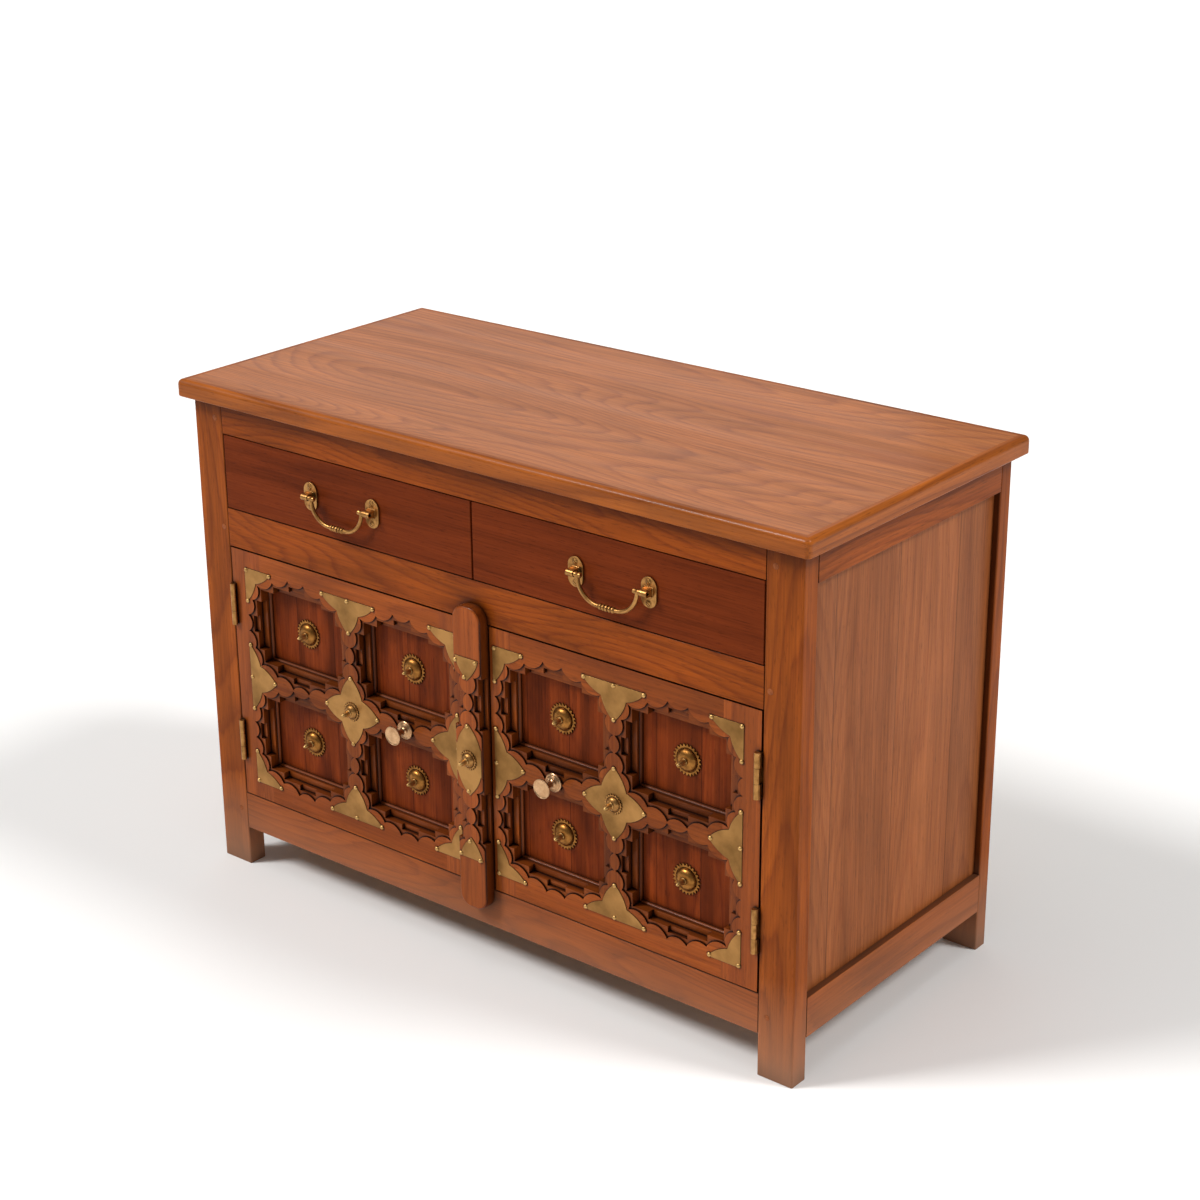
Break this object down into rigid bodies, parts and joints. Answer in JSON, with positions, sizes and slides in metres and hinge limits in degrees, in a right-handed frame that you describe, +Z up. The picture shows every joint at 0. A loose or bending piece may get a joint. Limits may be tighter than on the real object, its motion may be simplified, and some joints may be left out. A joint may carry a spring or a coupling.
{
  "type": "moroccan carved cabinet",
  "caption": "Low carved hardwood sideboard with drawers over paired doors; the doors carry a scalloped lattice with brass plates, spiked bosses, knobs and drop handles.",
  "frame": {"origin": "on the floor under the middle of the part's box", "axes": "+X to the right seen from the front, +Y from front to back, +Z up"},
  "size_m": [1.08, 0.5292, 0.75],
  "materials": {
    "stained_hardwood": "stained and waxed, satin",
    "top_hardwood": "stained and polished, semi-gloss",
    "drawer_front_hardwood": "dark stained, satin",
    "panel_hardwood": "stained planks, satin",
    "inner_softwood": "plain, sanded",
    "aged_brass": "aged, darkened in the hollows",
    "polished_brass": "polished"
  },
  "bodies": {
    "cabinet": {"top_panel": "top_hardwood", "top_front_lipping": "top_hardwood", "top_back_lipping": "top_hardwood", "top_end_lippings": "top_hardwood", "front_left_leg": "stained_hardwood", "front_right_leg": "stained_hardwood", "back_left_leg": "stained_hardwood", "back_right_leg": "stained_hardwood", "front_top_rail": "stained_hardwood", "front_middle_rail": "stained_hardwood", "front_bottom_rail": "stained_hardwood", "left_side_top_rail": "stained_hardwood", "left_side_bottom_rail": "stained_hardwood", "right_side_top_rail": "stained_hardwood", "right_side_bottom_rail": "stained_hardwood", "left_side_panel": "panel_hardwood", "right_side_panel": "panel_hardwood", "back_top_rail": "stained_hardwood", "back_bottom_rail": "stained_hardwood", "back_panel": "inner_softwood", "dust_board": "inner_softwood", "dust_board_cleats": "inner_softwood", "cupboard_floor": "inner_softwood", "drawer_guides": "inner_softwood", "frame_hinge_leaves": "aged_brass"},
    "left_drawer": {"left_drawer_front": "drawer_front_hardwood", "left_drawer_sides": "inner_softwood", "left_drawer_back": "inner_softwood", "left_drawer_bottom": "inner_softwood", "left_handle_escutcheons": "aged_brass"},
    "left_bail": {"left_handle_bail": "aged_brass"},
    "right_drawer": {"right_drawer_front": "drawer_front_hardwood", "right_drawer_sides": "inner_softwood", "right_drawer_back": "inner_softwood", "right_drawer_bottom": "inner_softwood", "right_handle_escutcheons": "aged_brass"},
    "right_bail": {"right_handle_bail": "aged_brass"},
    "left_door": {"left_door_hinge_stile": "stained_hardwood", "left_door_meeting_stile": "stained_hardwood", "left_door_bottom_rail": "stained_hardwood", "left_door_middle_rail": "stained_hardwood", "left_door_top_rail": "stained_hardwood", "left_door_muntins": "stained_hardwood", "left_door_panels": "panel_hardwood", "left_door_plates": "aged_brass", "left_door_bosses": "aged_brass", "left_door_knob": "polished_brass", "left_door_hinge_leaves": "aged_brass", "cover_strip": "stained_hardwood"},
    "right_door": {"right_door_hinge_stile": "stained_hardwood", "right_door_meeting_stile": "stained_hardwood", "right_door_bottom_rail": "stained_hardwood", "right_door_middle_rail": "stained_hardwood", "right_door_top_rail": "stained_hardwood", "right_door_muntins": "stained_hardwood", "right_door_panels": "panel_hardwood", "right_door_plates": "aged_brass", "right_door_bosses": "aged_brass", "right_door_knob": "polished_brass", "right_door_hinge_leaves": "aged_brass"}
  },
  "joints": [
    {"name": "left_drawer_slide", "type": "slide", "parent": "cabinet", "child": "left_drawer", "axis": [0, -1, 0], "range_m": [0, 0.3]},
    {"name": "right_drawer_slide", "type": "slide", "parent": "cabinet", "child": "right_drawer", "axis": [0, -1, 0], "range_m": [0, 0.3]},
    {"name": "left_bail_pivot", "type": "hinge", "parent": "left_drawer", "child": "left_bail", "pos_m": [-0.236, -0.23835, 0.62425], "axis": [-1, 0, 0], "range_deg": [-12, 160]},
    {"name": "right_bail_pivot", "type": "hinge", "parent": "right_drawer", "child": "right_bail", "pos_m": [0.236, -0.23835, 0.62425], "axis": [-1, 0, 0], "range_deg": [-12, 160]},
    {"name": "left_door_hinge", "type": "hinge", "parent": "cabinet", "child": "left_door", "pos_m": [-0.4629, -0.23065, 0.315], "axis": [0, 0, -1], "range_deg": [0, 170]},
    {"name": "right_door_hinge", "type": "hinge", "parent": "cabinet", "child": "right_door", "pos_m": [0.4629, -0.23065, 0.315], "axis": [0, 0, 1], "range_deg": [0, 170]}
  ]
}
